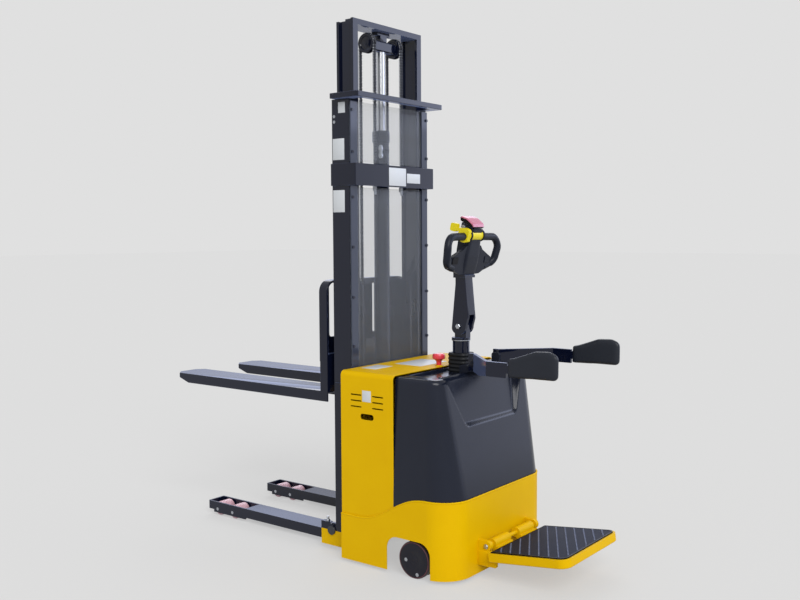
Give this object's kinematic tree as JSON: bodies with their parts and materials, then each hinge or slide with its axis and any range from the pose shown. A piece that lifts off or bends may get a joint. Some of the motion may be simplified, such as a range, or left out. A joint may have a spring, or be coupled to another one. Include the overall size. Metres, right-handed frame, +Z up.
{
  "type": "ride-on electric stacker",
  "caption": "Ride-on electric stacker with a two-stage mast, forks over straddle legs, tiller steering, folding platform and folding guard arms.",
  "frame": {"origin": "on the floor, midway along the overall length and width", "axes": "+X from the forks towards the operator's platform, +Y to the operator's right, +Z up"},
  "size_m": [2.2875, 0.798, 2.418],
  "materials": {
    "yellow_paint": "gloss powder coat",
    "black_paint": "satin powder coat",
    "hood_plastic": "moulded, glossy",
    "black_plastic": "moulded, fine texture",
    "clear_guard": "clear polycarbonate sheet",
    "chrome_rod": "ground and hard chromed",
    "bare_steel": "machined",
    "chain_steel": "oiled leaf chain",
    "cast_housing": "cast",
    "unit_paint": "semi-gloss",
    "battery_block": "stands for the mean density of a cell block",
    "controller_case": "die cast",
    "black_rubber": "moulded",
    "mat_rubber": "chequer ribbed",
    "wheel_red": "cast polyurethane",
    "wheel_dark": "cast polyurethane",
    "drive_tyre": "bonded tread",
    "red_plastic": "moulded",
    "yellow_plastic": "moulded",
    "grey_plastic": "moulded",
    "pad_foam": "integral-skin foam"
  },
  "bodies": {
    "chassis": {"chassis_frame": "yellow_paint", "skirt": "yellow_paint", "front_housing": "yellow_paint", "hood": "hood_plastic", "console": "black_plastic", "support_legs": "black_paint", "outer_mast": "black_paint", "mast_crossbar": "black_paint", "mast_mid_beam": "black_paint", "guard_sheet": "clear_guard", "guard_strips": "black_paint", "guard_bolts": "bare_steel", "cylinder_barrel": "black_paint", "chain_anchors": "bare_steel", "chain_rear_runs": "chain_steel", "battery_pack": "battery_block", "hydraulic_power_unit": "unit_paint", "motor_controller": "controller_case", "slew_bearing": "bare_steel", "gaiter": "black_rubber", "platform_hinge": "yellow_paint", "load_wheel_axles": "bare_steel", "outer_mast_rollers": "bare_steel"},
    "estop": {"estop_button": "red_plastic"},
    "inner_mast": {"inner_mast": "black_paint", "piston_rod": "chrome_rod", "chain_crosshead": "black_paint", "chain_wraps": "chain_steel", "inner_mast_rollers": "bare_steel"},
    "sheaves": {"chain_sheaves": "bare_steel"},
    "carriage": {"carriage_frame": "black_paint", "load_backrest": "black_paint", "forks": "black_paint", "chain_front_runs": "chain_steel", "carriage_rollers": "bare_steel"},
    "steering": {"steering_column": "black_paint", "drive_gearbox": "cast_housing", "drive_motor": "unit_paint"},
    "drive_wheel": {"drive_wheel": "drive_tyre"},
    "tiller": {"tiller_arm": "black_paint", "tiller_head": "black_plastic"},
    "throttle": {"throttle": "yellow_plastic"},
    "belly_button": {"belly_button": "red_plastic"},
    "horn_button": {"horn_button": "grey_plastic"},
    "lift_button": {"lift_button": "black_plastic"},
    "lower_button": {"lower_button": "black_plastic"},
    "caster_left": {"caster_fork_left": "black_paint"},
    "caster_right": {"caster_fork_right": "black_paint"},
    "caster_wheels_left": {"caster_wheels_left": "wheel_dark"},
    "caster_wheels_right": {"caster_wheels_right": "wheel_dark"},
    "load_wheel_left_front": {"load_wheel_left_front": "wheel_red"},
    "load_wheel_left_rear": {"load_wheel_left_rear": "wheel_red"},
    "load_wheel_right_front": {"load_wheel_right_front": "wheel_red"},
    "load_wheel_right_rear": {"load_wheel_right_rear": "wheel_red"},
    "platform": {"platform_frame": "yellow_paint", "platform_mat": "mat_rubber"},
    "arm_left": {"arm_left": "black_paint", "pad_left": "pad_foam"},
    "arm_right": {"arm_right": "black_paint", "pad_right": "pad_foam"}
  },
  "joints": [
    {"name": "mast_lift", "type": "slide", "parent": "chassis", "child": "inner_mast", "axis": [0, 0, 1], "range_m": [-0.3216, 1.1334], "deforming": ["chain_rear_runs"]},
    {"name": "carriage_lift", "type": "slide", "parent": "inner_mast", "child": "carriage", "axis": [0, 0, 1], "range_m": [-0.3236, 1.1354], "deforming": ["chain_front_runs"]},
    {"name": "sheave_spin", "type": "hinge", "parent": "inner_mast", "child": "sheaves", "pos_m": [0.028, 0, 2.333], "axis": [0, 1, 0], "continuous": true},
    {"name": "steer", "type": "hinge", "parent": "chassis", "child": "steering", "pos_m": [0.48, 0, 0.5], "axis": [0, 0, 1], "range_deg": [-90, 90]},
    {"name": "drive_spin", "type": "hinge", "parent": "steering", "child": "drive_wheel", "pos_m": [0.48, 0, 0.115], "axis": [0, 1, 0], "continuous": true},
    {"name": "tiller_tilt", "type": "hinge", "parent": "steering", "child": "tiller", "pos_m": [0.488, 0, 1.045], "axis": [0, -1, 0], "range_deg": [-75, 0], "stiffness_Nm_per_rad": 30, "springref_deg": 17.19},
    {"name": "throttle_turn", "type": "hinge", "parent": "tiller", "child": "throttle", "pos_m": [0.54544, 0, 1.45014], "axis": [0, 1, 0], "range_deg": [-30, 30], "stiffness_Nm_per_rad": 2},
    {"name": "belly_press", "type": "slide", "parent": "tiller", "child": "belly_button", "axis": [0.225, 0, 0.9744], "range_m": [-0.006, 0], "stiffness_N_per_m": 1500},
    {"name": "horn_press", "type": "slide", "parent": "tiller", "child": "horn_button", "axis": [0, 1, 0], "range_m": [0, 0.003], "stiffness_N_per_m": 800},
    {"name": "lift_press", "type": "slide", "parent": "tiller", "child": "lift_button", "axis": [-0.9744, 0, 0.225], "range_m": [0, 0.003], "stiffness_N_per_m": 800},
    {"name": "lower_press", "type": "slide", "parent": "tiller", "child": "lower_button", "axis": [-0.9744, 0, 0.225], "range_m": [0, 0.003], "stiffness_N_per_m": 800},
    {"name": "estop_press", "type": "slide", "parent": "chassis", "child": "estop", "axis": [0, 0, 1], "range_m": [-0.012, 0]},
    {"name": "platform_fold", "type": "hinge", "parent": "chassis", "child": "platform", "pos_m": [0.744, 0, 0.14], "axis": [0, -1, 0], "range_deg": [0, 83]},
    {"name": "arm_fold_left", "type": "hinge", "parent": "chassis", "child": "arm_left", "pos_m": [0.612, -0.1, 0.9], "axis": [0, -1, 0], "range_deg": [0, 90]},
    {"name": "arm_fold_right", "type": "hinge", "parent": "chassis", "child": "arm_right", "pos_m": [0.612, 0.1, 0.9], "axis": [0, -1, 0], "range_deg": [0, 90]},
    {"name": "caster_swivel_left", "type": "hinge", "parent": "chassis", "child": "caster_left", "pos_m": [0.4757, -0.348, 0.16], "axis": [0, 0, 1], "continuous": true},
    {"name": "caster_spin_left", "type": "hinge", "parent": "caster_left", "child": "caster_wheels_left", "pos_m": [0.4987, -0.348, 0.08], "axis": [0, 1, 0], "continuous": true},
    {"name": "caster_swivel_right", "type": "hinge", "parent": "chassis", "child": "caster_right", "pos_m": [0.4757, 0.348, 0.16], "axis": [0, 0, 1], "continuous": true},
    {"name": "caster_spin_right", "type": "hinge", "parent": "caster_right", "child": "caster_wheels_right", "pos_m": [0.4987, 0.348, 0.08], "axis": [0, 1, 0], "continuous": true},
    {"name": "load_wheel_spin_left_front", "type": "hinge", "parent": "chassis", "child": "load_wheel_left_front", "pos_m": [-0.866, -0.211, 0.035], "axis": [0, 1, 0], "continuous": true},
    {"name": "load_wheel_spin_left_rear", "type": "hinge", "parent": "chassis", "child": "load_wheel_left_rear", "pos_m": [-0.755, -0.211, 0.035], "axis": [0, 1, 0], "continuous": true},
    {"name": "load_wheel_spin_right_front", "type": "hinge", "parent": "chassis", "child": "load_wheel_right_front", "pos_m": [-0.866, 0.211, 0.035], "axis": [0, 1, 0], "continuous": true},
    {"name": "load_wheel_spin_right_rear", "type": "hinge", "parent": "chassis", "child": "load_wheel_right_rear", "pos_m": [-0.755, 0.211, 0.035], "axis": [0, 1, 0], "continuous": true}
  ],
  "couplings": [
    {"joint": "carriage_lift", "follows": "mast_lift", "ratio": 1},
    {"joint": "sheave_spin", "follows": "mast_lift", "rad_per_m": 23.809}
  ]
}
